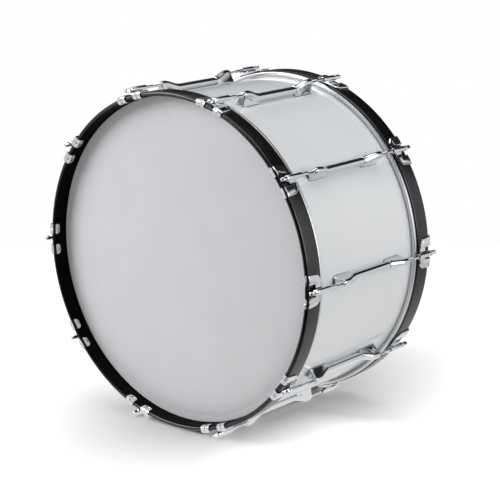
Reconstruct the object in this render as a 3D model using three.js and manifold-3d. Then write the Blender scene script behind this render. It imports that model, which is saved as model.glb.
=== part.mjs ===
// Marching bass drum, 24 inch by 12 inch, standing on its two wooden hoops.
// Millimetres. The drum's axis is Y, the front head faces -Y and Z is up.
// The origin lies on the floor, midway between the two hoops.
import * as THREE from 'three';
import { mergeVertices } from 'three/addons/utils/BufferGeometryUtils.js';
import Module from 'manifold-3d';

const wasm = await Module();
wasm.setup();

// Counts
const facetCount = 60;
const lugCount = 10;
const tubeSides = 12;
const roundSides = 8;
const keySides = 4;
const archSteps = 4;

// Clearances
const seatGap = 0.3;
const rodClearance = 0.35;
const collarPlay = 1.3;
const cutOverrun = 1;
const mergeTolerance = 1e-4;

// Shell: a maple tube with a bevelled bearing edge at each end
const shell = { radius: 303.5, wall: 6, depth: 304.8, edgeRound: 1.5, edgeBevel: 4.5 };
const vent = { radius: 1.6, spacing: 12.8, stagger: 2, offset: 22.5, turn: 4.5 };

// Head: a film with a collar and a flange that its flesh hoop holds
const film = { thickness: 0.4, flange: 2.4 };
const fleshHoop = { height: 6, inset: 1.9, lip: 3.5 };

// Wooden hoop: its outer edges and the inner front one are cut back as far as a full round would be
const hoop = { width: 38, thickness: 8.5, rise: 29.8, outerCorner: 2.45, innerCorner: 2.3 };

// Tension rod: a threaded shaft, a collar and a square key head
const rod = {
  radius: 2.8,
  standoff: 19.5,
  collarRadius: 5.4,
  collarRim: 2.6,
  collarCone: 3.4,
  coneRadius: 4.6,
  squareWidth: 6.35,
  squareLength: 11.5,
  squareChamfer: 1.4,
  threadLength: 22,
};

// Claw: two hooked fingers, a bridge and the barrel that the rod runs through
const claw = {
  fingerWidth: 19,
  fingerSpacing: 41,
  plateLength: 33,
  plateThickness: 3.3,
  plateFace: 26.5,
  plateCorner: 4.5,
  endThickness: 2.2,
  lipLength: 12.2,
  lipThickness: 1.8,
  bend: 5.2,
  nose: 5.8,
  notchDepth: 18,
  bridgeThickness: 2.5,
  bridgeLap: 1.6,
  gussetFoot: 13,
  gussetTop: 7,
  barrelRadius: 5,
  barrelReach: 48,
  barrelRecess: 12.5,
};

// Lug: a low tube between two flared castings, each with a nut boss for a rod.
// Casting, crest and boss reach back from the lug's end, and the bore runs out through the casting's back slope.
const lug = {
  length: 198,
  tubeRadius: 7.5,
  tubeLift: 1,
  tubeEmbed: 6,
  sleeveWall: 0.9,
  castingReach: 47,
  crestReach: 15,
  bossReach: 2.5,
  footHalfWidth: 10,
  bossRadius: 6.5,
  nutRadius: 4.8,
  nutProud: 3,
  slotReach: 37,
};

// Sizes that follow from the ones above
const half = shell.depth / 2;
const facetTurn = Math.PI / facetCount;
const flatShare = Math.cos(facetTurn);
const collarInner = shell.radius + seatGap;
const collarOuter = collarInner + film.thickness;
const hoopInner = collarOuter + collarPlay;
const hoopOuter = hoopInner + hoop.thickness;
const headBack = half + seatGap;
const headFace = headBack + film.thickness;
const hoopEnd = headFace + hoop.rise;
const hoopSeat = hoopEnd - hoop.width;
const axisHeight = hoopOuter * flatShare;
const rodRadius = shell.radius + rod.standoff;
const lugSeat = shell.radius * flatShare + seatGap;
const tubeHeight = lugSeat + lug.tubeLift + lug.tubeRadius;
const lugToe = lug.length / 2;
const lugSeam = lugToe - lug.castingReach;
const lugCrest = lugToe - lug.crestReach;
const bossEnd = lugToe - lug.bossReach;

// Closed body from a position-only mesh
function toSolid(geometry) {
  const source = geometry.clone();
  source.deleteAttribute('normal');
  source.deleteAttribute('uv');
  const merged = mergeVertices(source, mergeTolerance);
  return new wasm.Manifold(new wasm.Mesh({
    numProp: 3,
    vertProperties: new Float32Array(merged.attributes.position.array),
    triVerts: new Uint32Array(merged.index.array),
  }));
}

function toGeometry(solid) {
  const mesh = solid.getMesh();
  const geometry = new THREE.BufferGeometry();
  geometry.setAttribute('position', new THREE.BufferAttribute(new Float32Array(mesh.vertProperties), 3));
  geometry.setIndex(new THREE.BufferAttribute(new Uint32Array(mesh.triVerts), 1));
  const flat = geometry.toNonIndexed();
  flat.computeVertexNormals();
  return flat;
}

// Ring about the drum's axis from an outline of [radius, y] points.
// A flat of the ring lies at the bottom and one at every lug.
function ringGeometry(points) {
  const outline = points.map(([radius, y]) => new THREE.Vector2(radius, y));
  return new THREE.LatheGeometry(outline, facetCount, facetTurn, 2 * Math.PI);
}

function closedRing(points) {
  return ringGeometry([...points, points[0]]);
}

// Disc-like body whose outline starts and ends on the axis
function closedDisc(points) {
  return ringGeometry(points.slice().reverse());
}

// Rod-like body along Y from an outline of [radius, y] points that starts and ends on the axis
function turned(points, sides) {
  const outline = points.map(([radius, y]) => new THREE.Vector2(radius, y));
  return new THREE.LatheGeometry(outline, sides, Math.PI / sides, 2 * Math.PI);
}

// Cylinder along Y between two stations at a height above the drum's axis
function cylinderAlong(radius, from, to, height, sides) {
  const geometry = turned([[0, from], [radius, from], [radius, to], [0, to]], sides);
  return geometry.translate(0, 0, height);
}

// Body through a row of outlines with equal point counts, closed by flat fans
function loft(outlines) {
  const count = outlines[0].length;
  const positions = outlines.flat(2);
  const index = [];
  for (let row = 0; row < outlines.length - 1; row += 1) {
    for (let i = 0; i < count; i += 1) {
      const next = (i + 1) % count;
      const a = row * count + i;
      const b = row * count + next;
      index.push(a, a + count, b, b, a + count, b + count);
    }
  }
  const last = (outlines.length - 1) * count;
  for (let i = 1; i < count - 1; i += 1) {
    index.push(0, i, i + 1);
    index.push(last, last + i + 1, last + i);
  }
  const geometry = new THREE.BufferGeometry();
  geometry.setAttribute('position', new THREE.Float32BufferAttribute(positions, 3));
  geometry.setIndex(index);
  return geometry;
}

function makeShell() {
  const inner = shell.radius - shell.wall;
  const crest = shell.radius - shell.edgeRound;
  const body = closedRing([
    [inner, -half + shell.edgeBevel],
    [crest, -half],
    [shell.radius, -half + shell.edgeRound],
    [shell.radius, half - shell.edgeRound],
    [crest, half],
    [inner, half - shell.edgeBevel],
  ]);
  let solid = toSolid(body);
  const startTurn = THREE.MathUtils.degToRad(vent.turn);
  const stepTurn = vent.spacing / shell.radius;
  for (const step of [-1, 1]) {
    const drill = new THREE.CylinderGeometry(vent.radius, vent.radius, 3 * shell.wall, roundSides);
    drill.rotateX(Math.PI / 2);
    drill.translate(0, vent.offset + (step * vent.stagger) / 2, shell.radius - shell.wall / 2);
    drill.rotateY(-startTurn + (step * stepTurn) / 2);
    solid = solid.subtract(toSolid(drill));
  }
  return toGeometry(solid);
}

function makeHead() {
  const flangeFace = hoopSeat - fleshHoop.lip - 2 * seatGap;
  const flangeBack = flangeFace - film.thickness;
  const flangeOuter = collarOuter + film.flange;
  return closedDisc([
    [0, headFace],
    [collarOuter, headFace],
    [collarOuter, flangeFace],
    [flangeOuter, flangeFace],
    [flangeOuter, flangeBack],
    [collarInner, flangeBack],
    [collarInner, headBack],
    [0, headBack],
  ]);
}

function makeFleshHoop() {
  const face = hoopSeat - seatGap;
  const back = face - fleshHoop.height;
  const outer = hoopOuter - fleshHoop.inset;
  const inner = collarOuter + seatGap;
  const rebate = collarOuter + film.flange + seatGap;
  return closedRing([
    [inner, face - fleshHoop.lip],
    [rebate, face - fleshHoop.lip],
    [rebate, back],
    [outer, back],
    [outer, face],
    [inner, face],
  ]);
}

function makeHoop() {
  const round = hoop.outerCorner;
  const bevel = hoop.innerCorner;
  return closedRing([
    [hoopInner, hoopSeat],
    [hoopOuter - round, hoopSeat],
    [hoopOuter, hoopSeat + round],
    [hoopOuter, hoopEnd - round],
    [hoopOuter - round, hoopEnd],
    [hoopInner + bevel, hoopEnd],
    [hoopInner, hoopEnd - bevel],
  ]);
}

// Arched section of a lug casting: straight flanks from the foot and a round top about a centre.
// The flanks lean along the drum so that the foot reaches further out than the arch.
function archSection(archY, footY, footHalf, archRadius, archCentre) {
  const points = [[footHalf, footY, lugSeat]];
  for (let i = 0; i <= archSteps; i += 1) {
    const angle = (i * Math.PI) / archSteps;
    points.push([archRadius * Math.cos(angle), archY, archCentre + archRadius * Math.sin(angle)]);
  }
  points.push([-footHalf, footY, lugSeat]);
  return points;
}

function makeCasting() {
  const sleeve = lug.tubeRadius + lug.sleeveWall;
  const casting = toSolid(loft([
    archSection(lugSeam, lugSeam, sleeve, sleeve, tubeHeight),
    archSection(lugCrest, lugCrest, lug.footHalfWidth, lug.bossRadius, rodRadius),
    archSection(bossEnd, lugToe, lug.footHalfWidth, lug.bossRadius, rodRadius),
  ]));
  const nut = cylinderAlong(lug.nutRadius, lugCrest, bossEnd + lug.nutProud, rodRadius, roundSides);
  const boreStart = lugToe - lug.slotReach;
  const bore = cylinderAlong(rod.radius + rodClearance, boreStart, lugToe + cutOverrun, rodRadius, roundSides);
  return casting.add(toSolid(nut)).subtract(toSolid(bore));
}

function makeLug() {
  const casting = makeCasting();
  const tubeEnd = lugSeam + lug.tubeEmbed;
  const tube = toSolid(cylinderAlong(lug.tubeRadius, -tubeEnd, tubeEnd, tubeHeight, tubeSides));
  return toGeometry(tube.add(casting).add(casting.rotate([0, 0, 180])));
}

// Side outline of a finger as [inward, up] from the hoop's outer end edge, extruded across the finger.
// The raised face steps down to the bridge's level before the inner end.
// The bend and the nose follow the hoop's rounded edges: quarter circles in two steps outside, one flat inside.
function makeFinger(side) {
  const low = seatGap;
  const step = low + claw.bridgeThickness;
  const high = low + claw.plateThickness;
  const end = -seatGap - claw.endThickness;
  const shoulder = claw.bend * (1 - Math.SQRT1_2);
  const noseShoulder = claw.nose * (1 - Math.SQRT1_2);
  const innerBend = hoop.outerCorner + (2 - Math.SQRT2) * seatGap;
  const innerNose = hoop.innerCorner + (2 - Math.SQRT2) * seatGap;
  const lipTop = hoopInner * flatShare - hoopOuter - 2 * seatGap;
  const lipLow = lipTop - claw.lipThickness;
  const outline = new THREE.Shape();
  outline.moveTo(claw.plateLength, low);
  outline.lineTo(claw.plateLength, step);
  outline.lineTo(claw.plateFace, step);
  outline.lineTo(claw.plateFace, high);
  outline.lineTo(end + claw.bend, high);
  outline.lineTo(end + shoulder, high - shoulder);
  outline.lineTo(end, high - claw.bend);
  outline.lineTo(end, lipLow + claw.nose);
  outline.lineTo(end + noseShoulder, lipLow + noseShoulder);
  outline.lineTo(end + claw.nose, lipLow);
  outline.lineTo(claw.lipLength, lipLow);
  outline.lineTo(claw.lipLength, lipTop);
  outline.lineTo(innerNose - seatGap, lipTop);
  outline.lineTo(-seatGap, lipTop + innerNose);
  outline.lineTo(-seatGap, low - innerBend);
  outline.lineTo(innerBend - seatGap, low);
  outline.closePath();
  const geometry = new THREE.ExtrudeGeometry(outline, { depth: claw.fingerWidth, bevelEnabled: false });
  const basis = new THREE.Matrix4().makeBasis(
    new THREE.Vector3(0, 1, 0),
    new THREE.Vector3(0, 0, 1),
    new THREE.Vector3(1, 0, 0),
  );
  geometry.applyMatrix4(basis);
  geometry.translate(-claw.fingerWidth / 2, -hoopEnd, hoopOuter);
  const turn = (side * claw.fingerSpacing) / 2 / hoopOuter;
  const finger = toSolid(geometry.rotateY(turn));
  return finger.subtract(toSolid(makeCornerCut(side).rotateY(turn)));
}

// Wedge that takes a finger's outer corner off at the plate's inner end
function makeCornerCut(side) {
  const edge = claw.fingerWidth / 2 + cutOverrun;
  const end = claw.plateLength - hoopEnd + cutOverrun;
  const leg = claw.plateCorner + 2 * cutOverrun;
  const outline = new THREE.Shape();
  outline.moveTo(side * edge, end);
  outline.lineTo(side * (edge - leg), end);
  outline.lineTo(side * edge, end - leg);
  outline.closePath();
  const depth = claw.plateThickness + 2 * cutOverrun;
  const geometry = new THREE.ExtrudeGeometry(outline, { depth, bevelEnabled: false });
  return geometry.translate(0, 0, hoopOuter + seatGap - cutOverrun);
}

// Bridge plate between the fingers with a tapered gusset up to the barrel, extruded along the drum
function makeBridge() {
  const low = hoopOuter + seatGap;
  const top = low + claw.bridgeThickness;
  const reach = (claw.fingerSpacing - claw.fingerWidth) / 2 + claw.bridgeLap;
  const outline = new THREE.Shape();
  outline.moveTo(-reach, low);
  outline.lineTo(reach, low);
  outline.lineTo(reach, top);
  outline.lineTo(claw.gussetFoot / 2, top);
  outline.lineTo(claw.gussetTop / 2, rodRadius);
  outline.lineTo(-claw.gussetTop / 2, rodRadius);
  outline.lineTo(-claw.gussetFoot / 2, top);
  outline.lineTo(-reach, top);
  outline.closePath();
  const depth = claw.plateLength - claw.notchDepth;
  const geometry = new THREE.ExtrudeGeometry(outline, { depth, bevelEnabled: false });
  geometry.rotateX(Math.PI / 2);
  return toSolid(geometry.translate(0, claw.plateLength - hoopEnd, 0));
}

function makeClaw() {
  const barrelFront = -hoopEnd + claw.barrelRecess;
  const barrelBack = -hoopEnd + claw.barrelReach;
  const barrel = cylinderAlong(claw.barrelRadius, barrelFront, barrelBack, rodRadius, roundSides);
  const bore = cylinderAlong(
    rod.radius + rodClearance,
    barrelFront - cutOverrun,
    barrelBack + cutOverrun,
    rodRadius,
    roundSides,
  );
  const solid = makeFinger(-1).add(makeFinger(1)).add(makeBridge()).add(toSolid(barrel));
  return toGeometry(solid.subtract(toSolid(bore)));
}

function makeRod() {
  const collarBack = -hoopEnd + claw.barrelRecess - seatGap;
  const rimFront = collarBack - rod.collarRim;
  const coneFront = rimFront - rod.collarCone;
  const squareFront = coneFront - rod.squareLength;
  const tip = rod.threadLength - bossEnd;
  const turnedBody = turned([
    [0, coneFront],
    [rod.coneRadius, coneFront],
    [rod.collarRadius, rimFront],
    [rod.collarRadius, collarBack],
    [rod.radius, collarBack],
    [rod.radius, tip],
    [0, tip],
  ], roundSides);
  const corner = rod.squareWidth / Math.SQRT2;
  const key = turned([
    [0, squareFront],
    [corner - rod.squareChamfer, squareFront],
    [corner, squareFront + rod.squareChamfer],
    [corner, coneFront + rod.collarRim],
    [0, coneFront + rod.collarRim],
  ], keySides);
  const solid = toSolid(turnedBody).add(toSolid(key));
  return toGeometry(solid).translate(0, 0, rodRadius);
}

const finishes = {
  lacquer: { color: 0xe9eaeb, roughness: 0.18, metalness: 0 },
  film: { color: 0xd6d7d9, roughness: 0.55, metalness: 0 },
  aluminium: { color: 0xc9cbce, roughness: 0.35, metalness: 1 },
  ebony: { color: 0x0c0c0d, roughness: 0.25, metalness: 0 },
  chrome: { color: 0xd8dadd, roughness: 0.1, metalness: 1 },
};

function makeMesh(name, geometry, finish) {
  const mesh = new THREE.Mesh(geometry, new THREE.MeshStandardMaterial(finishes[finish]));
  mesh.name = name;
  return mesh;
}

const drum = new THREE.Group();
drum.position.set(0, 0, axisHeight);
drum.add(makeMesh('shell', makeShell(), 'lacquer'));

// What is mirrored front to rear is turned half round about the vertical
function addEnd(name, turn) {
  const end = new THREE.Group();
  end.rotation.z = turn;
  end.add(makeMesh(`${name}_head`, makeHead(), 'film'));
  end.add(makeMesh(`${name}_flesh_hoop`, makeFleshHoop(), 'aluminium'));
  end.add(makeMesh(`${name}_hoop`, makeHoop(), 'ebony'));
  drum.add(end);
}
addEnd('front', Math.PI);
addEnd('rear', 0);

const lugGeometry = makeLug();
const clawGeometry = makeClaw();
const rodGeometry = makeRod();
for (let i = 0; i < lugCount; i += 1) {
  const label = String(i + 1).padStart(2, '0');
  const station = new THREE.Group();
  station.rotation.y = ((0.5 + i) * 2 * Math.PI) / lugCount;
  station.add(makeMesh(`lug_${label}`, lugGeometry.clone(), 'chrome'));
  for (const [name, turn] of [['front', 0], ['rear', Math.PI]]) {
    const end = new THREE.Group();
    end.rotation.z = turn;
    end.add(makeMesh(`${name}_claw_${label}`, clawGeometry.clone(), 'chrome'));
    end.add(makeMesh(`${name}_rod_${label}`, rodGeometry.clone(), 'chrome'));
    station.add(end);
  }
  drum.add(station);
}

const part = new THREE.Group();
part.add(drum);

export default part;
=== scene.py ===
# Marching bass drum, 24 inch by 12 inch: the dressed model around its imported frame.
# Outlines are worked out in millimetres about the drum's axis (Y), and meshes are made in metres.
# A station is one of the ten places round the shell where a lug, two claws and two rods stand.
import math
from types import SimpleNamespace

import bmesh
import bpy
from mathutils import Matrix, Vector


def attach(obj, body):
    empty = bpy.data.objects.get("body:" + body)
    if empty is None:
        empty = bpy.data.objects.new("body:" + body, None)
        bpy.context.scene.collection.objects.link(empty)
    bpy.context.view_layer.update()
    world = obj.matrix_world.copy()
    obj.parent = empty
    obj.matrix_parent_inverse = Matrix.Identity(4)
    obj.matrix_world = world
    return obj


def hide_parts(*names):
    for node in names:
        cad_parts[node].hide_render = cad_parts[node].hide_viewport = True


bl_info = {
    "name": "Marching Bass Drum",
    "version": (1, 0, 0),
    "blender": (4, 5, 0),
    "location": "3D View > Sidebar > Bass Drum",
    "description": "Builds a marching bass drum with tube lugs, hooked claws and tension rods",
    "category": "Object",
}

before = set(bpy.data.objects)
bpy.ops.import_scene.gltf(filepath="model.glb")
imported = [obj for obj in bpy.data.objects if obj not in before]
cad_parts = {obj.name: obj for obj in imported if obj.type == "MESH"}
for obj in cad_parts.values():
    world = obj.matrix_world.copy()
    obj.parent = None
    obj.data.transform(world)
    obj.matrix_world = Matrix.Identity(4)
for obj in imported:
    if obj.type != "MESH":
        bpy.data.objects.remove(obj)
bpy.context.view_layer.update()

MM = 0.001
RING_STEPS = 240
FLOOR_RADIUS = 1400
STATIONS = 10
ENDS = (("front", 0.0), ("rear", math.pi))
SHARP_ANGLE = 32
NODE_PREFIX = "ShaderNode"


# Sizes and colours


def length(name, description, default):
    return bpy.props.FloatProperty(
        name=name, description=description, default=default, min=0.0, unit="LENGTH", precision=4
    )


def colour(name, description, code):
    return bpy.props.FloatVectorProperty(
        name=name, description=description, default=linear(code), min=0.0, max=1.0, size=3, subtype="COLOR"
    )


def linear(code):
    """An sRGB hex colour as three linear values."""
    channels = [int(code[i : i + 2], 16) / 255 for i in (1, 3, 5)]
    return tuple(c / 12.92 if c <= 0.04045 else ((c + 0.055) / 1.055) ** 2.4 for c in channels)


class DrumSizes(bpy.types.PropertyGroup):
    axis_height: length("Axis height", "Height of the drum's axis over the floor", 0.31357)
    shell_radius: length("Shell radius", "Outside radius of the shell", 0.30308)
    shell_wall: length("Shell wall", "Thickness of the ply", 0.006)
    shell_depth: length("Shell depth", "Length of the shell along its axis", 0.3048)
    film_thickness: length("Film thickness", "Thickness of the head's film", 0.0004)
    hoop_width: length("Hoop width", "Width of the wooden hoop along the axis", 0.038)
    hoop_thickness: length("Hoop thickness", "Radial thickness of the wooden hoop", 0.00849)
    hoop_rise: length("Hoop rise", "How far the hoop stands in front of the head", 0.0298)
    hoop_round: length("Hoop rounding", "Radius of the hoop's edges, which are fully rounded", 0.0042)
    flesh_height: length("Flesh hoop height", "Height of the flesh hoop along the axis", 0.006)
    rod_radius: length("Rod radius", "Radius of a tension rod's shaft", 0.0028)
    rod_standoff: length("Rod standoff", "Distance from the shell to a rod's axis", 0.01992)
    thread_pitch: length("Thread pitch", "Rise of the thread in one turn", 0.001058333)
    tube_radius: length("Lug tube radius", "Outside radius of a lug's tube", 0.0075)
    lug_length: length("Lug length", "Length of a lug over both castings", 0.198)
    finger_width: length("Finger width", "Width of one claw finger", 0.019)
    finger_spacing: length("Finger spacing", "Distance between a claw's two fingers", 0.041)
    claw_reach: length("Claw reach", "How far a claw's plates reach over the hoop", 0.033)


class DrumColours(bpy.types.PropertyGroup):
    lacquer: colour("Shell lacquer", "White lacquer on the shell", "#e9ebed")
    film: colour("Head film", "Coated film of the heads", "#dcdde0")
    ebony: colour("Hoop lacquer", "Black lacquer on the wooden hoops", "#050506")
    maple: colour("Maple", "Bare ply inside the shell", "#d3b184")
    maple_grain: colour("Maple grain", "Darker grain in the ply", "#b98f5e")
    chrome: colour("Chrome", "Chrome plating on castings and rods", "#dfe1e4")
    aluminium: colour("Aluminium", "Flesh hoops", "#d9dbdd")
    rubber: colour("Rubber", "Gaskets and claw pads", "#17171a")
    paper: colour("Floor", "Paper that the drum stands on", "#dedddb")


def measures():
    """Every length in millimetres, with those that follow from the sizes."""
    sizes = bpy.context.scene.drum_sizes
    m = SimpleNamespace(**{name: getattr(sizes, name) / MM for name in DrumSizes.__annotations__})
    m.half = m.shell_depth / 2
    m.shell_inner = m.shell_radius - m.shell_wall
    m.collar_inner = m.shell_radius + 0.3
    m.collar_outer = m.collar_inner + m.film_thickness
    m.hoop_inner = m.collar_outer + 1.3
    m.hoop_outer = m.hoop_inner + m.hoop_thickness
    m.head_back = m.half + 0.3
    m.head_face = m.head_back + m.film_thickness
    m.hoop_end = m.head_face + m.hoop_rise
    m.hoop_seat = m.hoop_end - m.hoop_width
    m.rod_axis = m.shell_radius + m.rod_standoff
    m.foot = m.shell_radius + 0.32
    m.tube_axis = m.foot + 0.98 + m.tube_radius
    m.toe = m.lug_length / 2
    m.seam = m.toe - 47
    m.crest = m.toe - 15
    m.boss_end = m.toe - 2.5
    m.plate = m.hoop_outer + 0.73
    m.plate_top = m.plate + 2.4
    m.hook_end = m.hoop_end + 0.3
    m.hook_front = m.hook_end + 5
    m.lip_top = m.hoop_inner - 0.6
    m.lip_low = m.lip_top - 1.7
    m.tongue_end = m.hoop_end - 12.2
    m.claw_end = m.hoop_end - m.claw_reach
    m.finger_half = m.finger_width / 2
    m.finger_turn = m.finger_spacing / 2 / (m.hoop_outer + 0.43)
    m.collar_back = m.hoop_end - 12.2
    m.barrel_back = m.hoop_end - 48
    return m


# Mesh tools


def rounded(corners, steps=6):
    """A closed outline of (u, v, radius) corners, each rounded to its radius."""
    outline = []
    for i, (u, v, radius) in enumerate(corners):
        here = Vector((u, v))
        if radius <= 0:
            outline.append(here)
            continue
        before = (Vector(corners[i - 1][:2]) - here).normalized()
        after = (Vector(corners[(i + 1) % len(corners)][:2]) - here).normalized()
        half_angle = before.angle(after) / 2
        reach = radius / math.tan(half_angle)
        centre = here + (before + after).normalized() * radius / math.sin(half_angle)
        first = here + before * reach - centre
        last = here + after * reach - centre
        for k in range(steps + 1):
            share = k / steps
            arm = first.normalized().slerp(last.normalized(), share)
            outline.append(centre + arm * radius)
    return outline


def shade(mesh, sharp_angle):
    """Smooth the mesh but for its sharp edges."""
    mesh.shade_smooth()
    mesh.set_sharp_from_angle(angle=math.radians(sharp_angle))
    return mesh


def make_mesh(name, vertices, faces, sharp_angle=30):
    """A closed mesh in metres from corners in millimetres, smooth but for its sharp edges."""
    mesh = bpy.data.meshes.new(name)
    mesh.from_pydata([Vector(v) * MM for v in vertices], [], faces)
    build = bmesh.new()
    build.from_mesh(mesh)
    bmesh.ops.remove_doubles(build, verts=build.verts, dist=1e-7)
    bmesh.ops.recalc_face_normals(build, faces=build.faces)
    build.to_mesh(mesh)
    build.free()
    return shade(mesh, sharp_angle)


def revolve(name, outline, steps=RING_STEPS, closed=True, axis_height=0.0):
    """A body turned about the Y axis from (radius, y) points. An open outline starts and ends on the axis."""
    vertices, rows = [], []
    for radius, y in outline:
        if radius < 1e-6:
            rows.append([len(vertices)] * steps)
            vertices.append((0.0, y, axis_height))
            continue
        rows.append(list(range(len(vertices), len(vertices) + steps)))
        for k in range(steps):
            turn = 2 * math.pi * k / steps
            vertices.append((radius * math.sin(turn), y, axis_height + radius * math.cos(turn)))
    faces = []
    for i in range(len(rows) if closed else len(rows) - 1):
        here, there = rows[i], rows[(i + 1) % len(rows)]
        for k in range(steps):
            ring = [here[k], here[(k + 1) % steps], there[(k + 1) % steps], there[k]]
            face = list(dict.fromkeys(ring))
            if len(face) > 2:
                faces.append(face)
    return make_mesh(name, vertices, faces)


def loft(name, rows, sharp_angle=30):
    """A body through closed rows of equal point counts, with a flat cap at both ends."""
    count = len(rows[0])
    vertices = [point for row in rows for point in row]
    faces = [list(range(count)), list(range((len(rows) - 1) * count, len(rows) * count))]
    for r in range(len(rows) - 1):
        for i in range(count):
            a, b = r * count + i, r * count + (i + 1) % count
            faces.append([a, b, b + count, a + count])
    return make_mesh(name, vertices, faces, sharp_angle)


def extrude(name, outline, direction, start, end):
    """A prism of an outline: direction turns (u, v, w) into a point, and w runs from start to end."""
    return loft(name, [[direction(u, v, w) for u, v in outline] for w in (start, end)])


def along_lateral(u, v, w):
    return (w, u, v)


def along_axis(u, v, w):
    return (u, w, v)


def along_radius(u, v, w):
    return (u, v, w)


def evaluated(mesh, add_modifiers):
    """A mesh as its modifiers leave it. The scratch object it stood on is removed."""
    scratch = bpy.data.objects.new("scratch", mesh)
    bpy.context.scene.collection.objects.link(scratch)
    helpers = add_modifiers(scratch)
    graph = bpy.context.evaluated_depsgraph_get()
    made = bpy.data.meshes.new_from_object(
        scratch.evaluated_get(graph), preserve_all_data_layers=True, depsgraph=graph
    )
    for item in [scratch, *helpers]:
        bpy.data.objects.remove(item)
    if not len(made.polygons):
        raise RuntimeError(f"{mesh.name} came out empty")
    made.name = mesh.name
    return made


def combine(base, operation, *tools):
    """The base mesh joined with, cut by or kept inside each tool mesh in turn."""

    def add_modifiers(scratch):
        helpers = []
        for tool in tools:
            helper = bpy.data.objects.new("helper", tool)
            bpy.context.scene.collection.objects.link(helper)
            modifier = scratch.modifiers.new("combine", "BOOLEAN")
            modifier.operation = operation
            modifier.solver = "EXACT"
            modifier.object = helper
            helpers.append(helper)
        return helpers

    return evaluated(base, add_modifiers)


def softened(mesh, width, segments):
    """The mesh with its sharp edges rounded to a width in millimetres."""

    def add_modifiers(scratch):
        modifier = scratch.modifiers.new("soften", "BEVEL")
        modifier.width = width * MM
        modifier.segments = segments
        modifier.limit_method = "ANGLE"
        modifier.angle_limit = math.radians(SHARP_ANGLE)
        modifier.use_clamp_overlap = True
        modifier.harden_normals = True
        modifier.miter_outer = "MITER_ARC"
        return []

    mesh.shade_smooth()
    return evaluated(mesh, add_modifiers)


def turned_copy(mesh, turn, axis="Y"):
    copy = mesh.copy()
    copy.transform(Matrix.Rotation(turn, 4, axis))
    return copy


def cylinder(name, radius, start, end, height, steps=32):
    return revolve(name, [(0, start), (radius, start), (radius, end), (0, end)], steps, False, height)


def drum_place(turn=0.0):
    """Where the drum's axis lies, turned about the upright line through its middle."""
    height = bpy.context.scene.drum_sizes.axis_height
    return Matrix.Translation((0, 0, height)) @ Matrix.Rotation(turn, 4, "Z")


def station_place(index, turn=0.0):
    """Where station number index stands, and for the rear end a half turn about its own radius."""
    around = Matrix.Rotation((0.5 + index) * 2 * math.pi / STATIONS, 4, "Y")
    return drum_place() @ around @ Matrix.Rotation(turn, 4, "Z")


def place(name, mesh, matrix, body, slot, *nodes):
    """A piece put in its place, riding on its body and standing for its CAD nodes."""
    piece = bpy.data.objects.new(name, mesh)
    bpy.context.scene.collection.objects.link(piece)
    piece.matrix_world = matrix
    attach(piece, body)
    if nodes:
        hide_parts(*nodes)


def place_ends(name, mesh, body, slot, node):
    """A ring at both ends. Each rides on its own end's body and stands for its own end's node."""
    for end, turn in ENDS:
        at = drum_place(turn + math.pi)
        place(f"{end}_{name}", mesh, at, f"{end}_{body}", slot, f"{end}_{node}")


def place_stations(name, mesh, slot=None, carrier=None, stands=False):
    """A piece at every station of both ends, riding on its claw or rod where that is its carrier."""
    for end, turn in ENDS:
        for index in range(STATIONS):
            label = f"{index + 1:02d}"
            node = f"{end}_{carrier}_{label}"
            body = f"{node}_body" if carrier else "drum_body"
            nodes = [node] if stands else []
            place(f"{end}_{name}_{label}", mesh, station_place(index, turn), body, slot, *nodes)


def dress(mesh, *materials):
    mesh.materials.clear()
    for material in materials:
        mesh.materials.append(material)
    return mesh


# Materials


def set_inputs(tree, node, inputs):
    """Set a node's inputs, each to a value or to another node's output socket."""
    for name, value in inputs.items():
        if isinstance(value, bpy.types.NodeSocket):
            tree.links.new(value, node.inputs[name])
        else:
            node.inputs[name].default_value = value


def add_node(tree, kind, settings=None, links=None):
    """A shader node of a kind, such as Math or Bump, with its settings and its inputs."""
    node = tree.nodes.new(NODE_PREFIX + kind)
    for name, value in (settings or {}).items():
        setattr(node, name, value)
    set_inputs(tree, node, links or {})
    return node


def shop_colour(name):
    return tuple(getattr(bpy.context.scene.drum_colours, name))


def toned(base, factor):
    return tuple(c * factor for c in base)


def object_place(tree, scale=(1, 1, 1)):
    """The place on the piece in metres, stretched by a scale."""
    spot = add_node(tree, "TexCoord").outputs["Object"]
    return add_node(tree, "Mapping", links={"Vector": spot, "Scale": scale}).outputs["Vector"]


def round_place(tree, scale):
    """The place on a ring as (angle, radius, y), stretched by a scale."""
    split = add_node(tree, "SeparateXYZ", links={"Vector": object_place(tree)})
    x, z = split.outputs["X"], split.outputs["Z"]
    angle = add_node(tree, "Math", {"operation": "ARCTAN2"}, {0: x, 1: z})
    flat = add_node(tree, "CombineXYZ", links={"X": x, "Z": z})
    radius = add_node(tree, "VectorMath", {"operation": "LENGTH"}, {0: flat.outputs["Vector"]})
    polar = {"X": angle.outputs[0], "Y": radius.outputs["Value"], "Z": split.outputs["Y"]}
    stretch = {0: add_node(tree, "CombineXYZ", links=polar).outputs["Vector"], 1: scale}
    return add_node(tree, "VectorMath", {"operation": "MULTIPLY"}, stretch).outputs["Vector"]


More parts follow.
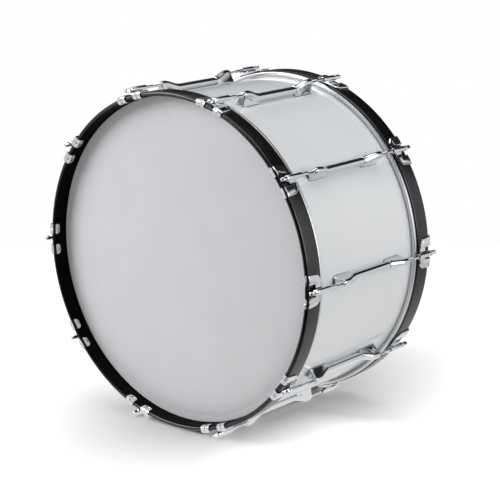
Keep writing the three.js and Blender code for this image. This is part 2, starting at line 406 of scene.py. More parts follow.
def textured(name, base, rough=None, relief=None, tone=None, ring=None, stretch=(1, 1, 1), inputs=None):
    """A material that is made once, under its name, and whose surface follows patterns of noise.

    Each pattern starts with its scale and detail. Rough goes on with the lowest and the highest roughness,
    relief with its strength and its depth in millimetres, and tone with a second colour and with the part
    of the noise over which the first colour turns into it. Ring is the scale of a pattern laid round a ring.
    """
    material = bpy.data.materials.get(name)
    if material:
        return material
    material = bpy.data.materials.new(name)
    material.use_nodes = True
    material.diffuse_color = (*base, 1)
    tree = material.node_tree
    grain = {
        "Vector": round_place(tree, ring) if ring else object_place(tree, stretch),
        "Roughness": 0.6 if ring else 0.5,
    }
    noise = {}
    for pattern in (tone, rough, relief):
        if pattern and pattern[:2] not in noise:
            links = {"Scale": pattern[0], "Detail": pattern[1], **grain}
            noise[pattern[:2]] = add_node(tree, "TexNoise", links=links).outputs["Fac"]
    looks = {"Base Color": (*base, 1), **(inputs or {})}
    if tone:
        second, start, end = tone[2:]
        span = {"Value": noise[tone[:2]], "From Min": start, "From Max": end}
        share = add_node(tree, "MapRange", links=span).outputs["Result"]
        both = {0: share, 6: (*base, 1), 7: (*second, 1)}
        looks["Base Color"] = add_node(tree, "Mix", {"data_type": "RGBA"}, both).outputs[2]
    if rough:
        span = {"From Min": 0.3, "From Max": 0.7, "To Min": rough[2], "To Max": rough[3]}
        ranged = add_node(tree, "MapRange", links={"Value": noise[rough[:2]], **span})
        looks["Roughness"] = ranged.outputs["Result"]
    if relief:
        bump = {"Height": noise[relief[:2]], "Strength": relief[2], "Distance": relief[3] * MM}
        looks["Normal"] = add_node(tree, "Bump", links=bump).outputs["Normal"]
    set_inputs(tree, tree.nodes["Principled BSDF"], looks)
    return material


def white_lacquer():
    """White polyester lacquer, sprayed and buffed: a clear gloss with a faint orange peel 3 mm across."""
    base = shop_colour("lacquer")
    return textured(
        "White polyester lacquer",
        base,
        rough=(60, 4, 0.1, 0.17),
        relief=(330, 1, 0.2, 0.012),
        tone=(9, 3, toned(base, 0.975), 0.3, 0.7),
        inputs={"IOR": 1.52},
    )


def coated_film():
    """Coated polyester film: a milky white with a dull sheen and a sprayed texture.

    Its specks are 0.5 mm across here, coarser than the real coating's, because those would not show.
    """
    base = shop_colour("film")
    return textured(
        "Coated polyester film",
        base,
        rough=(120, 5, 0.38, 0.5),
        relief=(1900, 3, 0.25, 0.02),
        tone=(14, 4, toned(base, 0.96), 0.3, 0.7),
        inputs={"IOR": 1.57},
    )


def black_lacquer():
    """Black lacquer on a maple hoop: deep gloss, with a 2 mm grain under it just felt along the ring."""
    base = shop_colour("ebony")
    return textured(
        "Black lacquered maple",
        base,
        rough=(1, 4, 0.2, 0.3),
        relief=(1, 4, 0.15, 0.02),
        tone=(1, 4, toned(base, 1.8), 0, 1),
        ring=(14, 500, 500),
        inputs={"IOR": 1.5, "Specular IOR Level": 0.55, "Specular Tint": (0.92, 0.95, 1.0, 1)},
    )


def black_stain_and_shade():
    """Black stain on the hoop's inner wall, its colour half the lacquer's as painted shade in the hoop's
    recess: dull, with open grain along the ring 0.5 mm apart.
    """
    return textured(
        "Black stained maple",
        # Half the lacquer's colour: painted shade in the hoop's recess.
        toned(shop_colour("ebony"), 0.5),
        rough=(1, 4, 0.55, 0.75),
        relief=(1, 4, 0.3, 0.03),
        ring=(14, 2000, 2000),
        inputs={"IOR": 1.5, "Specular IOR Level": 0.06},
    )


def maple_ply():
    """Bare maple ply, sanded: a 1 mm grain round the inside and 1 mm plies showing on the cut edge."""
    base, dark = shop_colour("maple"), shop_colour("maple_grain")
    dull = {"Roughness": 0.55, "IOR": 1.5}
    material = textured("Sanded maple ply", base, relief=(1, 5, 0.3, 0.03), ring=(9, 1000, 650), inputs=dull)
    tree = material.node_tree
    plies = add_node(
        tree,
        "TexWave",
        {"wave_type": "BANDS", "bands_direction": "Y", "wave_profile": "SIN"},
        {"Vector": round_place(tree, (0, 1, 0)), "Scale": 160},
    )
    crossed = {0: tree.nodes["Noise Texture"].outputs["Fac"], 1: plies.outputs["Fac"]}
    both = add_node(tree, "Math", {"operation": "MULTIPLY"}, crossed)
    span = {"Value": both.outputs[0], "From Min": 0.1, "From Max": 0.6}
    share = add_node(tree, "MapRange", links=span).outputs["Result"]
    wood = add_node(tree, "Mix", {"data_type": "RGBA"}, {0: share, 6: (*dark, 1), 7: (*base, 1)})
    set_inputs(tree, tree.nodes["Principled BSDF"], {"Base Color": wood.outputs[2]})
    return material


def bright_chrome():
    """Chrome on a zinc casting, polished: mirror bright with a cast face's slow ripple, 9 mm across."""
    return textured(
        "Chromed zinc casting",
        shop_colour("chrome"),
        rough=(260, 3, 0.05, 0.12),
        relief=(110, 1, 0.12, 0.06),
        inputs={"Metallic": 1},
    )


def drawn_chrome():
    """Chrome on drawn steel: bright, with fine drawing lines round the rod.

    They are 0.3 mm apart, coarser than real ones, which would not show.
    """
    return textured(
        "Chromed steel",
        shop_colour("chrome"),
        rough=(1, 2, 0.08, 0.16),
        relief=(1, 2, 0.1, 0.01),
        stretch=(60, 3300, 60),
        inputs={"Metallic": 1},
    )


def brushed_aluminium():
    """Rolled aluminium, brushed along the ring: soft bright bands with fine lines.

    They are 0.4 mm apart, coarser than real ones, which would not show.
    """
    return textured(
        "Brushed aluminium",
        shop_colour("aluminium"),
        rough=(1, 3, 0.24, 0.38),
        relief=(1, 3, 0.2, 0.02),
        ring=(4, 2500, 2500),
        inputs={"Metallic": 1},
    )


def black_rubber():
    """Moulded black rubber: dull, with a dusty texture of 0.5 mm specks, coarser than real so that it shows."""
    return textured(
        "Moulded rubber",
        shop_colour("rubber"),
        rough=(900, 3, 0.6, 0.8),
        relief=(2000, 2, 0.3, 0.02),
        inputs={"IOR": 1.52},
    )


def by_direction(tree, spot, level, changes):
    """A level of light that changes towards some directions: each has a start, an end and a share left."""
    for toward, start, end, share in changes:
        facing = add_node(tree, "VectorMath", {"operation": "DOT_PRODUCT"}, {0: spot, 1: toward})
        span = {"From Min": start, "From Max": end, "To Min": 1.0, "To Max": share}
        change = add_node(tree, "MapRange", links={"Value": facing.outputs["Value"], **span})
        product = {0: level, 1: change.outputs["Result"]}
        level = add_node(tree, "Math", {"operation": "MULTIPLY"}, product).outputs[0]
    return level


def pale_paper():
    """Seamless background paper: flat white. The camera sees it lifted by a painted glow, so that it meets the
    background, and chrome sees a painted reflection in its place.
    """
    white = (1, 1, 1, 1)
    flat_finish = {"Roughness": 0.9, "Specular IOR Level": 0.1, "Emission Color": white}
    material = textured(
        "Background paper", shop_colour("paper"), relief=(700, 2, 0.05, 0.05), inputs=flat_finish
    )
    tree = material.node_tree
    spot = object_place(tree)
    # Painted reflection: chrome sees the floor as a glow, not its lit colour, darker towards the camera and to
    # the right.
    darker = (((0.64, -0.77, 0), 0.3, 0.65, 0.02), ((0.75, 0.66, 0), 0.4, 1.0, 0.65))
    mirrored = by_direction(tree, spot, 0.9, darker)
    painted_reflection = add_node(tree, "Emission", links={"Color": white, "Strength": mirrored})
    # Painted light: the camera alone sees a glow that starts outside the drum's footprint and is stronger in
    # front of the shell's right side, so it sets where the drum's shadow ends.
    level = add_node(tree, "VectorMath", {"operation": "MULTIPLY"}, {0: spot, 1: (1, 1, 0)})
    flat = add_node(tree, "VectorMath", {"operation": "NORMALIZE"}, {0: level.outputs[0]})
    oval = add_node(tree, "VectorMath", {"operation": "MULTIPLY"}, {0: spot, 1: (1.75, 1, 0)})
    away = add_node(tree, "VectorMath", {"operation": "LENGTH"}, {0: oval.outputs[0]})
    span = {"Value": away.outputs["Value"], "From Min": 0.2, "From Max": 0.58, "To Max": 0.55}
    painted_glow = add_node(tree, "MapRange", links=span).outputs["Result"]
    painted_glow = by_direction(tree, flat.outputs[0], painted_glow, (((0.93, -0.37, 0), 0.75, 0.93, 2.2),))
    path = add_node(tree, "LightPath")
    seen = {0: path.outputs["Is Camera Ray"], 1: painted_glow}
    strength = add_node(tree, "Math", {"operation": "MULTIPLY"}, seen).outputs[0]
    shader = tree.nodes["Principled BSDF"]
    set_inputs(tree, shader, {"Emission Strength": strength})
    # Glossy rays get the painted reflection instead of the lit paper.
    shaders = {0: path.outputs["Is Glossy Ray"], 1: shader.outputs["BSDF"], 2: painted_reflection.outputs[0]}
    mix = add_node(tree, "MixShader", links=shaders)
    set_inputs(tree, tree.nodes["Material Output"], {"Surface": mix.outputs[0]})
    return material


# Shell, heads and hoops


class BASSDRUM_OT_shell(bpy.types.Operator):
    """Build the shell: a lacquered ply tube with bevelled bearing edges and two vent holes"""

    bl_idname = "bassdrum.shell"
    bl_label = "Shell"

    def execute(self, context):
        m = measures()
        edge = [(m.shell_inner, 4.5, 0.6), (m.shell_radius - 1.2, 0, 0.5), (m.shell_radius, 1.6, 1.2)]
        low = [(radius, depth - m.half, corner) for radius, depth, corner in edge]
        high = [(radius, m.half - depth, corner) for radius, depth, corner in reversed(edge)]
        tube = revolve("shell_tube", rounded(low + high, 4))
        drills = []
        for y, turn in vent_spots(m):
            drill = cylinder("drill", 1.5, -20, 20, 0, 24)
            drill.transform(Matrix.Rotation(math.pi / 2, 4, "X"))
            drill.transform(Matrix.Translation((0, y * MM, m.shell_radius * MM)))
            drill.transform(Matrix.Rotation(turn, 4, "Y"))
            drills.append(drill)
        tube = combine(tube, "DIFFERENCE", *drills)
        dress(tube, white_lacquer(), maple_ply())
        lacquered = (m.shell_radius - 0.9) * MM
        for face in tube.polygons:
            out = math.hypot(face.center.x, face.center.z)
            face.material_index = 0 if out > lacquered else 1
        place("shell_tube", tube, drum_place(), "drum_body", "shell_lacquer", "shell")
        return {"FINISHED"}


def vent_spots(m):
    """The two vent holes near the shell's top, as (y, turn about the axis)."""
    step = 12.8 / m.shell_radius
    return [(22.5 + side, -math.radians(4.5) + side * step / 2) for side in (-1, 1)]


class BASSDRUM_OT_vent_eyelets(bpy.types.Operator):
    """Build the two small eyelets that line the vent holes"""

    bl_idname = "bassdrum.vent_eyelets"
    bl_label = "Vent eyelets"

    def execute(self, context):
        m = measures()
        inner, outer, rim = 0.95, 1.45, 2.3
        sleeve = [(inner, -6.2, 0), (outer, -6.2, 0), (outer, 0.05, 0)]
        flange = [(rim, 0.05, 0.1), (rim, 0.4, 0.2), (inner, 0.4, 0.3)]
        eyelet = revolve("vent_eyelet", rounded(sleeve + flange, 3), 32)
        eyelet.transform(Matrix.Rotation(math.pi / 2, 4, "X"))
        dress(eyelet, brushed_aluminium())
        for index, (y, turn) in enumerate(vent_spots(m)):
            out = Matrix.Translation((0, y * MM, m.shell_radius * MM))
            at = drum_place() @ Matrix.Rotation(turn, 4, "Y") @ out
            place(f"vent_eyelet_{index + 1}", eyelet, at, "drum_body", None)
        return {"FINISHED"}


class BASSDRUM_OT_heads(bpy.types.Operator):
    """Build the two heads: film drawn flat, with a collar that turns down into the flesh hoop"""

    bl_idname = "bassdrum.heads"
    bl_label = "Heads"

    def execute(self, context):
        m = measures()
        flange = m.hoop_seat - 4.1
        rim = m.collar_outer + 2.4
        film = m.film_thickness
        outline = rounded(
            [
                (m.collar_outer, m.head_face, 1.6),
                (m.collar_outer, flange, 0.3),
                (rim, flange, 0.1),
                (rim, flange - film, 0.1),
                (m.collar_inner, flange - film, 0.3),
                (m.collar_inner, m.head_back, 1.3),
            ],
            5,
        )
        rings = (0, 40, 120, 200, 260, 290)
        face_rings = [(r, m.head_face) for r in rings]
        back_rings = [(r, m.head_back) for r in reversed(rings)]
        head = revolve("drum_head", face_rings + outline + back_rings, closed=False)
        dress(head, coated_film())
        place_ends("drum_head", head, "head_body", "head_film", "head")
        return {"FINISHED"}


class BASSDRUM_OT_flesh_hoops(bpy.types.Operator):
    """Build the two aluminium flesh hoops that grip the film's edge"""

    bl_idname = "bassdrum.flesh_hoops"
    bl_label = "Flesh hoops"

    def execute(self, context):
        m = measures()
        face = m.hoop_seat - 0.3
        back = face - m.flesh_height
        outer = m.hoop_outer - 1.9
        inner = m.collar_outer + 0.3
        rebate = m.collar_outer + 2.7
        outline = rounded(
            [
                (inner, face - 3.5, 0.3),
                (rebate, face - 3.5, 0.2),
                (rebate, back, 0.5),
                (outer, back, 1.3),
                (outer, face, 0.8),
                (inner, face, 0.8),
            ],
            4,
        )
        ring = dress(revolve("flesh_hoop_ring", outline), brushed_aluminium())
        place_ends("flesh_ring", ring, "head_body", "flesh_hoop_aluminium", "flesh_hoop")
        return {"FINISHED"}


class BASSDRUM_OT_wooden_hoops(bpy.types.Operator):
    """Build the two wooden hoops with their rounded outer edges"""

    bl_idname = "bassdrum.wooden_hoops"
    bl_label = "Wooden hoops"

    def execute(self, context):
        m = measures()
        outline = rounded(
            [
                (m.hoop_inner, m.hoop_seat, 1.2),
                (m.hoop_outer, m.hoop_seat, m.hoop_round),
                (m.hoop_outer, m.hoop_end, m.hoop_round),
                (m.hoop_inner, m.hoop_end, m.hoop_round),
            ],
            8,
        )
        hoop = dress(revolve("wooden_hoop", outline), black_lacquer(), black_stain_and_shade())
        # The inner wall takes the dull stain, darkened as painted shade.
        inner_wall = (m.hoop_inner + 1) * MM
        for face in hoop.polygons:
            face.material_index = 1 if math.hypot(face.center.x, face.center.z) < inner_wall else 0
        place_ends("wooden_hoop", hoop, "hoop_body", "hoop_black", "hoop")
        return {"FINISHED"}


# Lugs


def casting_section(m, arch_y, foot_y, foot_half, arch_radius, arch_centre):
    """One section of a lug casting: a foot, flanks that sweep in, and a round arch on top."""
    rise = arch_centre - m.foot
    start = Vector((foot_half, m.foot + 1.2))
    pull = Vector((arch_radius + 0.25 * (foot_half - arch_radius), m.foot + 0.42 * rise))
    top = Vector((arch_radius, arch_centre))
    half_row = [Vector((foot_half, m.foot))]
    for k in range(7):
        share = k / 7
        half_row.append(start * (1 - share) ** 2 + pull * 2 * share * (1 - share) + top * share**2)
    for k in range(7):
        turn = math.pi / 2 * k / 6
        half_row.append(Vector((arch_radius * math.cos(turn), arch_centre + arch_radius * math.sin(turn))))
    full = half_row + [Vector((-p.x, p.y)) for p in reversed(half_row[:-1])]
    row = []
    for p in full:
        lean = min(1.0, (p.y - m.foot) / rise)
        row.append((p.x, foot_y + (arch_y - foot_y) * lean, p.y))
    return row


def casting_rows(m):
    """Sections of a casting from the seam on the tube to the end face, whose corners are drawn in."""
    sleeve = m.tube_radius + 0.9
    foot_end, boss = 9.8, 6.5
    rows = []
    for reach in (0, 1, 4, 8, 12, 16, 20, 24, 28, m.crest - m.seam):
        y = m.seam + reach
        share = reach / (m.crest - m.seam)
        ease = 0.45 * share + 0.55 * share * share * (3 - 2 * share)
        foot_half = sleeve + (foot_end - sleeve) * share
        arch_radius = sleeve + (boss - sleeve) * ease
        arch_centre = m.tube_axis + (m.rod_axis - m.tube_axis) * ease
        rows.append(casting_section(m, y, y, foot_half, arch_radius, arch_centre))
    drawn_in = ((0.35, foot_end, boss), (0.7, 9.3, 6.4), (0.9, 8.4, 6.2), (1.0, 7.3, 5.9))
    for share, foot_half, arch_radius in drawn_in:
        arch_y = m.crest + (m.boss_end - m.crest) * share
        foot_y = m.crest + (m.toe - m.crest) * share
        rows.append(casting_section(m, arch_y, foot_y, foot_half, arch_radius, m.rod_axis))
    return rows


def oblong(half_width, low, high, corner, steps):
    """A rectangle's outline with rounded corners."""
    sides = ((-half_width, low), (half_width, low), (half_width, high), (-half_width, high))
    return rounded([(u, v, corner) for u, v in sides], steps)


class BASSDRUM_OT_lugs(bpy.types.Operator):
    """Build the ten tube lugs: a tube between two flared castings with a socket for each nut"""

    bl_idname = "bassdrum.lugs"
    bl_label = "Tube lugs"

    def execute(self, context):
        m = measures()
        casting = loft("casting", casting_rows(m))
        casting = softened(casting, 0.7, 3)
        socket = cylinder("socket", 5.3, m.boss_end - 7, m.toe + 3, m.rod_axis)
        bore = cylinder("bore", 3.4, m.boss_end - 23.5, m.toe + 3, m.rod_axis)
        opening = oblong(5.4, m.foot + 0.9, m.foot + 4.1, 1.5, 4)
        slot = extrude("slot", opening, along_axis, m.toe - 7, m.toe + 3)
        pins = []
        for side in (-1, 1):
            pin = cylinder("pin", 1.3, -2.2, 2.2, 0, 20)
            pin.transform(Matrix.Rotation(math.pi / 2, 4, "Z"))
            pin.transform(Matrix.Translation((side * 9.4 * MM, (m.seam + 3.2) * MM, (m.foot + 4.4) * MM)))
            pins.append(pin)
        casting = combine(casting, "DIFFERENCE", socket, bore, slot, *pins)
        tube = cylinder("tube", m.tube_radius, -m.seam - 6, m.seam + 6, m.tube_axis, 48)
        lug = combine(tube, "UNION", casting, turned_copy(casting, math.pi, "Z"))
        shade(lug, SHARP_ANGLE).name = "tube_lug"
        dress(lug, bright_chrome())
        for index in range(STATIONS):
            label = f"{index + 1:02d}"
            at = station_place(index)
            place(f"tube_lug_{label}", lug, at, "drum_body", "chrome_casting", f"lug_{label}")
        return {"FINISHED"}


class BASSDRUM_OT_swivel_nuts(bpy.types.Operator):
    """Build the domed swivel nuts that sit in the castings and take the rods"""

    bl_idname = "bassdrum.swivel_nuts"
    bl_label = "Swivel nuts"

    def execute(self, context):
        m = measures()
        dome, foot = -(m.boss_end + 3), -m.boss_end + 6.6
        outline = rounded([(3.0, dome, 0.5), (4.8, dome, 2.0), (4.8, foot, 0.3), (3.0, foot, 0.3)], 6)
        nut = revolve("swivel_nut", outline, 40, axis_height=m.rod_axis)
        place_stations("swivel_nut", dress(nut, bright_chrome()), "chrome_casting")
        return {"FINISHED"}


class BASSDRUM_OT_lug_gaskets(bpy.types.Operator):
    """Build the thin gaskets between the castings and the shell"""

    bl_idname = "bassdrum.lug_gaskets"
    bl_label = "Lug gaskets"

    def execute(self, context):
        m = measures()
        rows = []
        neck = ((m.seam - 0.3, 8.6), (m.crest, 10.1), (m.crest + 9, 9.8))
        for y, half in (*neck, (m.toe - 1.4, 8.9), (m.toe + 0.35, 7.6)):
            xs = [half * (k / 6 - 1) for k in range(13)]
            low = [(x, -y, math.sqrt((m.shell_radius - 0.05) ** 2 - x * x)) for x in xs]
            high = [(x, -y, m.foot + 0.15) for x in reversed(xs)]
            rows.append(low + high)
        place_stations("lug_gasket", dress(loft("lug_gasket", rows), black_rubber()))
        return {"FINISHED"}


class BASSDRUM_OT_lug_screws(bpy.types.Operator):
    """Build the screws and washers that hold the lugs from inside the shell"""

    bl_idname = "bassdrum.lug_screws"
    bl_label = "Lug screws"

    def execute(self, context):
        m = measures()
        dome, rim, face, back = 4.1, 4.1, 0.95, -0.35
        head = [(0, dome, 0), (2.9, dome, 1.6), (rim, 1.3, 0.4), (rim, face, 0)]
        washer = [(6.9, face, 0.3), (6.9, back, 0.2), (0, back, 0)]
        screw = revolve("lug_screw", rounded(head + washer, 4), 32, closed=False)
        groove = extrude("groove", oblong(0.55, -2.3, 2.3, 0, 1), along_axis, 2.6, 5)
        screw = combine(screw, "DIFFERENCE", groove, turned_copy(groove, math.pi / 2))
        shade(screw, SHARP_ANGLE)
        screw.transform(Matrix.Rotation(-math.pi / 2, 4, "X"))
        screw.transform(Matrix.Translation((0, -(m.seam + 34) * MM, m.shell_inner * MM)))
        place_stations("lug_screw", dress(screw, drawn_chrome()))
        return {"FINISHED"}


# Claws and rods


def finger_plan(m, side, inset):
    """A finger's plan: full width at the hoop's end, drawn in on its outer side towards the drum's middle."""
    inner_end = -m.claw_end - inset
    taper = 3.6
    wide, narrow = m.finger_half - inset, m.finger_half - taper - inset
    corners = [
        (-wide, -m.hook_front, 0),
        (wide, -m.hook_front, 0),
        (wide, -(m.hoop_end - 2), 4),
        (narrow + 1.4, inner_end - 8.5, 4),
        (narrow - 6.5, inner_end, 4),
        (-wide, inner_end, 1),
    ]
    outline = rounded(corners, 5)
    return outline if side > 0 else [Vector((-p.x, p.y)) for p in reversed(outline)]


def rib_rows(m, side, outer_end):
    """A finger's raised rib, which slants out to the hoop's end and runs on over the bend."""
    foot, crest = m.plate_top - 1.2, m.plate_top + 0.45
    back, middle = -(m.hoop_end - 24.7), -(m.hoop_end - 10.9)
    under = m.hoop_inner + 5.12
    rows = []
    for across, drop in ((-6.4, 0.6), (-4.2, 0), (3.8, 0), (6.0, 0.6)):
        front = outer_end + 0.2 + 0.75 * drop
        outline = rounded(
            [
                (back, foot, 0),
                (back, m.plate_top - 0.3, 0),
                (back - 2, crest - drop, 0.5),
                (front, crest - drop, 4.9 - 0.3 * drop),
                (front, under + 1.2, 0),
                (outer_end + 1.7, under, 0),
                (outer_end + 1.7, foot, 3.6),
            ],
            6,
        )
        rows.append([(side * (across + 0.2 * (middle - y)), y, z) for y, z in outline])
    return rows


def finger_mesh(m, side):
    """One hooked finger: a plate over the hoop, a round nose, a tongue inside the hoop and a rib."""
    top, half = m.plate_top, m.finger_half
    outer_end = -(m.hook_end + 2.2)
    nose = outer_end + 0.4
    profile = rounded(
        [
            (-m.claw_end, m.plate, 0.2),
            (-m.claw_end, top, 0.6),
            (nose, top, 4.8),
            (nose, m.lip_low, 6.2),
            (-m.tongue_end, m.lip_low, 0.5),
            (-m.tongue_end, m.lip_top, 0.5),
            (-m.hook_end, m.lip_top, 4.4),
            (-m.hook_end, m.plate, 4.8),
        ],
        8,
    )
    hook = extrude("finger", profile, along_lateral, -half, half)
    levels = [(0.0, m.lip_low + 3), (0.0, top - 1.3), (1.5, top + 0.4)]
    mask = loft("mask", [[(u, v, z) for u, v in finger_plan(m, side, inset)] for inset, z in levels])
    ends = [(-half, -m.hook_front, 0), (half, -m.hook_front, 0)]
    ends += [(half, -m.tongue_end, 6.5), (-half, -m.tongue_end, 6.5)]
    tongue = extrude("tongue", rounded(ends, 8), along_radius, m.lip_low - 2, m.lip_low + 4.5)
    hook = combine(hook, "INTERSECT", combine(mask, "UNION", tongue))
    hook = combine(hook, "UNION", loft("rib", rib_rows(m, side, outer_end)))
    start, bend, low = -(m.hoop_end - 5), outer_end + 0.9, m.lip_low + 1.2
    seam = rounded(
        [
            (start, top + 0.4, 0),
            (bend, top + 0.4, 4.6),
            (bend, low, 0),
            (outer_end - 4, low, 0),
            (outer_end - 4, top + 4, 0),
            (start, top + 4, 0),
        ],
        6,
    )
    line = extrude("line", seam, along_lateral, -0.6, 0.6)
    dish_half, near, far = 5.6, -m.hook_front + 8, -m.tongue_end - 1.8
    dish = [(-dish_half, near, 0.8), (dish_half, near, 0.8), (dish_half, far, 4.8), (-dish_half, far, 4.8)]
    recess = extrude("recess", rounded(dish, 6), along_radius, m.lip_low - 1, m.lip_low + 0.8)
    hole = cylinder("hole", 1.4, -3.2, 3.2, 0, 20)
    hole.transform(Matrix.Rotation(math.radians(39), 4, "X"))
    hole.transform(Matrix.Translation((0, -(m.hoop_end + 1.3) * MM, (m.lip_low + 2.2) * MM)))
    hook = combine(hook, "DIFFERENCE", line, recess, hole)
    hook.transform(Matrix.Rotation(side * m.finger_turn, 4, "Y"))
    return hook


def bridge_mesh(m):
    """The plate between the fingers, with a gusset that sweeps up to the barrel."""
    reach = m.finger_spacing / 2 - m.finger_half + 1.6
    neck = m.rod_axis - 2.4
    foot_half, waist, neck_half = 7.2, 3.2, 3.3
    half_row = [(reach, m.plate), (reach, m.plate_top)]
    for k in range(7):
        share = k / 6
        out = foot_half * (1 - share) ** 2 + 2 * waist * share * (1 - share) + neck_half * share**2
        half_row.append((out, m.plate_top + (neck - m.plate_top) * share**1.4))
    half_row.append((neck_half, m.rod_axis))
    outline = half_row + [(-u, v) for u, v in reversed(half_row)]
    return extrude("bridge", outline, along_axis, -(m.claw_end + 15), -m.claw_end)


class BASSDRUM_OT_claws(bpy.types.Operator):
    """Build the twenty claws: two fingers hooked over the hoop, a bridge and a barrel for the rod"""

    bl_idname = "bassdrum.claws"
    bl_label = "Claws"

    def execute(self, context):
        m = measures()
        face = -(m.collar_back - 0.9)
        outline = rounded([(0, face, 0), (5, face, 0.8), (5, -m.barrel_back, 0.8), (0, -m.barrel_back, 0)], 4)
        barrel = revolve("barrel", outline, 40, closed=False, axis_height=m.rod_axis)
        bore = cylinder("bore", 3.2, -m.hoop_end, -m.barrel_back + 5, m.rod_axis)
        mouth = cylinder("mouth", 4.2, -m.barrel_back - 5, -m.barrel_back + 5, m.rod_axis)
        claw = combine(finger_mesh(m, -1), "UNION", finger_mesh(m, 1), bridge_mesh(m), barrel)
        claw = combine(claw, "DIFFERENCE", bore, mouth)
        claw = softened(claw, 0.45, 2)
        claw.name = "hook_claw"
        place_stations("hook_claw", dress(claw, bright_chrome()), "chrome_casting", "claw", stands=True)
        return {"FINISHED"}


class BASSDRUM_OT_claw_pads(bpy.types.Operator):
    """Build the rubber pads that line the claws' hooks"""

    bl_idname = "bassdrum.claw_pads"
    bl_label = "Claw pads"

    def execute(self, context):
        m = measures()
        inner_end, lip_end = -(m.claw_end + 1.2), -(m.hoop_end - 9)
        end_face, inner_wall, outer_wall = -m.hoop_end - 0.02, m.hoop_inner - 0.05, m.hoop_outer + 0.02
        profile = rounded(
            [
                (inner_end, m.plate, 0),
                (-m.hook_end, m.plate, 4.8),
                (-m.hook_end, m.lip_top, 4.4),
                (lip_end, m.lip_top, 0),
                (lip_end, inner_wall, 0),
                (end_face, inner_wall, 4.15),
                (end_face, outer_wall, 4.2),
                (inner_end, outer_wall, 0),
            ],
            8,
        )
        half = m.finger_half - 1.2
        pads = []
        for side in (-1, 1):
            pad = extrude("pad", profile, along_lateral, -half, half)
            plan = extrude("plan", finger_plan(m, side, 0.9), along_radius, m.hoop_inner - 6, m.plate + 3)
            pads.append(turned_copy(combine(pad, "INTERSECT", plan), side * m.finger_turn))
        pair = combine(pads[0], "UNION", pads[1])
        pair.name = "claw_pads"
        place_stations("claw_pads", dress(pair, black_rubber()), carrier="claw")
        return {"FINISHED"}


def thread_rows(m, start, end, steps=24, per_turn=6):
    """Rings of points along a screw thread that runs from start to end about the rod's axis."""
    crest, root = m.rod_radius, m.rod_radius - 0.5
    count = int((end - start) / m.thread_pitch * per_turn)
    rows = []
    for j in range(count + 1):
        y = start + (end - start) * j / count
        fade = min(1.0, (y - start) / m.thread_pitch, (end - y) / m.thread_pitch)
        row = []
        for k in range(steps):
            turn = 2 * math.pi * k / steps
            phase = ((y - start) / m.thread_pitch - k / steps) % 1.0
            tooth = abs(2 * phase - 1)
            radius = crest - (crest - root) * tooth * fade
            row.append((radius * math.sin(turn), y, m.rod_axis + radius * math.cos(turn)))
        rows.append(row)
    return rows


def key_rows(m, start, end):
    """Square sections of a key head with rounded corners and a tapered tip."""
    side = 3.175
    rows = []
    for y, half, corner in (
        (start, 2.0, 0.9),
        (start + 0.35, 2.55, 0.9),
        (start + 1.4, side, 0.7),
        (end - 0.5, side, 0.7),
        (end + 1, side, 0.7),
    ):
        rows.append([(u, y, m.rod_axis + v) for u, v in oblong(half, -half, half, corner, 3)])
    return rows


class BASSDRUM_OT_rods(bpy.types.Operator):
    """Build the twenty tension rods: a threaded shaft, a collar and a square key head"""

    bl_idname = "bassdrum.rods"
    bl_label = "Tension rods"

    def execute(self, context):
        m = measures()
        tip = -(m.boss_end - 22)
        thread_end = tip - 42
        rim = -m.collar_back - 2.6
        neck = rim - 3.4
        collar = 5.4
        outline = rounded(
            [
                (0, neck, 0),
                (collar - 0.9, neck, 0.4),
                (collar, rim, 0.6),
                (collar, -m.collar_back, 0.4),
                (m.rod_radius, -m.collar_back, 0),
                (m.rod_radius, thread_end - 0.4, 0),
                (0, thread_end - 0.4, 0),
            ],
            4,
        )
        shaft = revolve("shaft", outline, 40, closed=False, axis_height=m.rod_axis)
        key = loft("key", key_rows(m, neck - 11.5, neck))
        thread = loft("thread", thread_rows(m, thread_end, tip), 60)
        rod = combine(shaft, "UNION", key, thread)
        shade(rod, 35).name = "tension_rod"
        place_stations("tension_rod", dress(rod, drawn_chrome()), "chrome_steel", "rod", stands=True)
        return {"FINISHED"}


class BASSDRUM_OT_rod_washers(bpy.types.Operator):
    """Build the steel washers between the rods' collars and the claws' barrels"""

    bl_idname = "bassdrum.rod_washers"
    bl_label = "Rod washers"

    def execute(self, context):
        m = measures()
        low, high = -m.collar_back + 0.08, -m.collar_back + 0.86
        outline = rounded([(3.3, low, 0.15), (5.2, low, 0.3), (5.2, high, 0.3), (3.3, high, 0.15)], 3)
        washer = revolve("rod_washer", outline, 40, axis_height=m.rod_axis)
        place_stations("rod_washer", dress(washer, drawn_chrome()), carrier="claw")
        return {"FINISHED"}


# Studio


def studio_world():
    """A white studio. What chrome mirrors is dark behind the camera, past the drum and high behind it."""
    world = bpy.data.worlds.new("White studio")
    bpy.context.scene.world = world
    world.use_nodes = True
    tree = world.node_tree
    tree.nodes.clear()
    direction = add_node(tree, "TexCoord").outputs["Generated"]
    dark = (
        ((0.62, -0.74, 0.1), 0.42, 0.62, 0.015),
        ((-0.62, 0.74, 0.1), 0.9, 0.955, 0.04),
        ((0.03, 0.77, 0.57), 0.84, 0.9, 0.03),
    )
    dark = [(Vector(toward).normalized(), *span) for toward, *span in dark]
    mirrored = by_direction(tree, direction, 0.75, dark)
    white, cool = (1, 1, 1, 1), (0.98, 0.99, 1, 1)
    backdrop = add_node(tree, "Background", links={"Color": white, "Strength": 1.0})
    seen = add_node(tree, "Background", links={"Color": white, "Strength": mirrored})
    fill = add_node(tree, "Background", links={"Color": cool, "Strength": 0.3})
    path = add_node(tree, "LightPath")
    shaders = {0: path.outputs["Is Glossy Ray"], 1: fill.outputs[0], 2: seen.outputs[0]}
    glossy = add_node(tree, "MixShader", links=shaders)
    direct = {0: path.outputs["Is Camera Ray"], 1: path.outputs["Is Transmission Ray"]}
    clear = add_node(tree, "Math", {"operation": "MAXIMUM"}, direct)
    shaders = {0: clear.outputs[0], 1: glossy.outputs[0], 2: backdrop.outputs[0]}
    last = add_node(tree, "MixShader", links=shaders)
    add_node(tree, "OutputWorld", links={"Surface": last.outputs[0]})


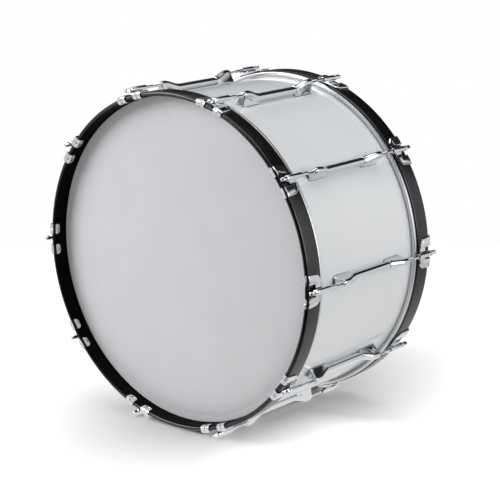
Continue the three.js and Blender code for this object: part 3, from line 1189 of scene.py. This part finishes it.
def soft_lamp(name, at, size, energy):
    """A square lamp that faces the drum's axis."""
    light = bpy.data.lights.new(name, "AREA")
    light.shape = "SQUARE"
    light.size = size
    light.energy = energy
    lamp = bpy.data.objects.new(name, light)
    bpy.context.scene.collection.objects.link(lamp)
    lamp.location = at
    lamp.rotation_euler = (Vector((0, 0, 0.3)) - Vector(at)).to_track_quat("-Z", "Y").to_euler()


class BASSDRUM_OT_stage(bpy.types.Operator):
    """Set the floor, the soft lamps, the world and the camera"""

    bl_idname = "bassdrum.stage"
    bl_label = "Stage"

    def execute(self, context):
        rim = [2 * math.pi * k / 96 for k in range(96)]
        corners = [(FLOOR_RADIUS * math.cos(turn), FLOOR_RADIUS * math.sin(turn), -0.3) for turn in rim]
        sheet = make_mesh("floor_paper", corners, [list(range(96))])
        floor = bpy.data.objects.new("floor_paper", dress(sheet, pale_paper()))
        context.scene.collection.objects.link(floor)
        studio_world()
        soft_lamp("key_lamp", (-1.7, -1.8, 1.7), 1.6, 54)
        soft_lamp("side_lamp", (2.8, 0.9, 1.1), 1.6, 33)
        soft_lamp("top_lamp", (0.4, 0.3, 3.2), 2.5, 30)
        self.set_camera(context)
        context.scene.view_settings.view_transform = "Standard"
        return {"FINISHED"}

    def set_camera(self, context):
        """The photograph's camera: fitted to the hoops' edges, 121 mm lens on a 36 mm sensor."""
        yaw, pitch, roll = (math.radians(a) for a in (40.06, 14.14, -0.47))
        back = Vector((math.sin(yaw) * math.cos(pitch), -math.cos(yaw) * math.cos(pitch), math.sin(pitch)))
        level = Vector((math.cos(yaw), math.sin(yaw), 0))
        upright = back.cross(level)
        right = math.cos(roll) * level + math.sin(roll) * upright
        top = math.cos(roll) * upright - math.sin(roll) * level
        centre = Vector((0, 0, context.scene.drum_sizes.axis_height))
        spot = centre + back * 3.1712 + right * 0.0250 - top * 0.0099
        data = bpy.data.cameras.new("camera")
        data.sensor_fit = "HORIZONTAL"
        data.sensor_width = 36
        data.lens = 120.6
        camera = bpy.data.objects.new("camera", data)
        context.scene.collection.objects.link(camera)
        rows = [(right[i], top[i], back[i], spot[i]) for i in range(3)]
        camera.matrix_world = Matrix(rows + [(0, 0, 0, 1)])
        context.scene.camera = camera


# Panel and start


class BASSDRUM_PT_panel(bpy.types.Panel):
    """Lists what builds the drum"""

    bl_idname = "BASSDRUM_PT_panel"
    bl_label = "Bass drum"
    bl_space_type = "VIEW_3D"
    bl_region_type = "UI"
    bl_category = "Bass Drum"

    def draw(self, context):
        for step in STEPS:
            self.layout.operator(step.bl_idname)
        for name in DrumSizes.__annotations__:
            self.layout.prop(context.scene.drum_sizes, name)
        for name in DrumColours.__annotations__:
            self.layout.prop(context.scene.drum_colours, name)


STEPS = (
    BASSDRUM_OT_shell,
    BASSDRUM_OT_vent_eyelets,
    BASSDRUM_OT_heads,
    BASSDRUM_OT_flesh_hoops,
    BASSDRUM_OT_wooden_hoops,
    BASSDRUM_OT_lugs,
    BASSDRUM_OT_swivel_nuts,
    BASSDRUM_OT_lug_gaskets,
    BASSDRUM_OT_lug_screws,
    BASSDRUM_OT_claws,
    BASSDRUM_OT_claw_pads,
    BASSDRUM_OT_rods,
    BASSDRUM_OT_rod_washers,
    BASSDRUM_OT_stage,
)
CLASSES = (DrumSizes, DrumColours, *STEPS, BASSDRUM_PT_panel)


def register():
    for item in CLASSES:
        bpy.utils.register_class(item)
    bpy.types.Scene.drum_sizes = bpy.props.PointerProperty(type=DrumSizes)
    bpy.types.Scene.drum_colours = bpy.props.PointerProperty(type=DrumColours)


def unregister():
    del bpy.types.Scene.drum_colours
    del bpy.types.Scene.drum_sizes
    for item in reversed(CLASSES):
        bpy.utils.unregister_class(item)


def main():
    register()
    for step in STEPS:
        group, action = step.bl_idname.split(".")
        result = getattr(getattr(bpy.ops, group), action)()
        if result != {"FINISHED"}:
            raise RuntimeError(f"{step.bl_label} wasn't built")


if __name__ == "__main__":
    main()
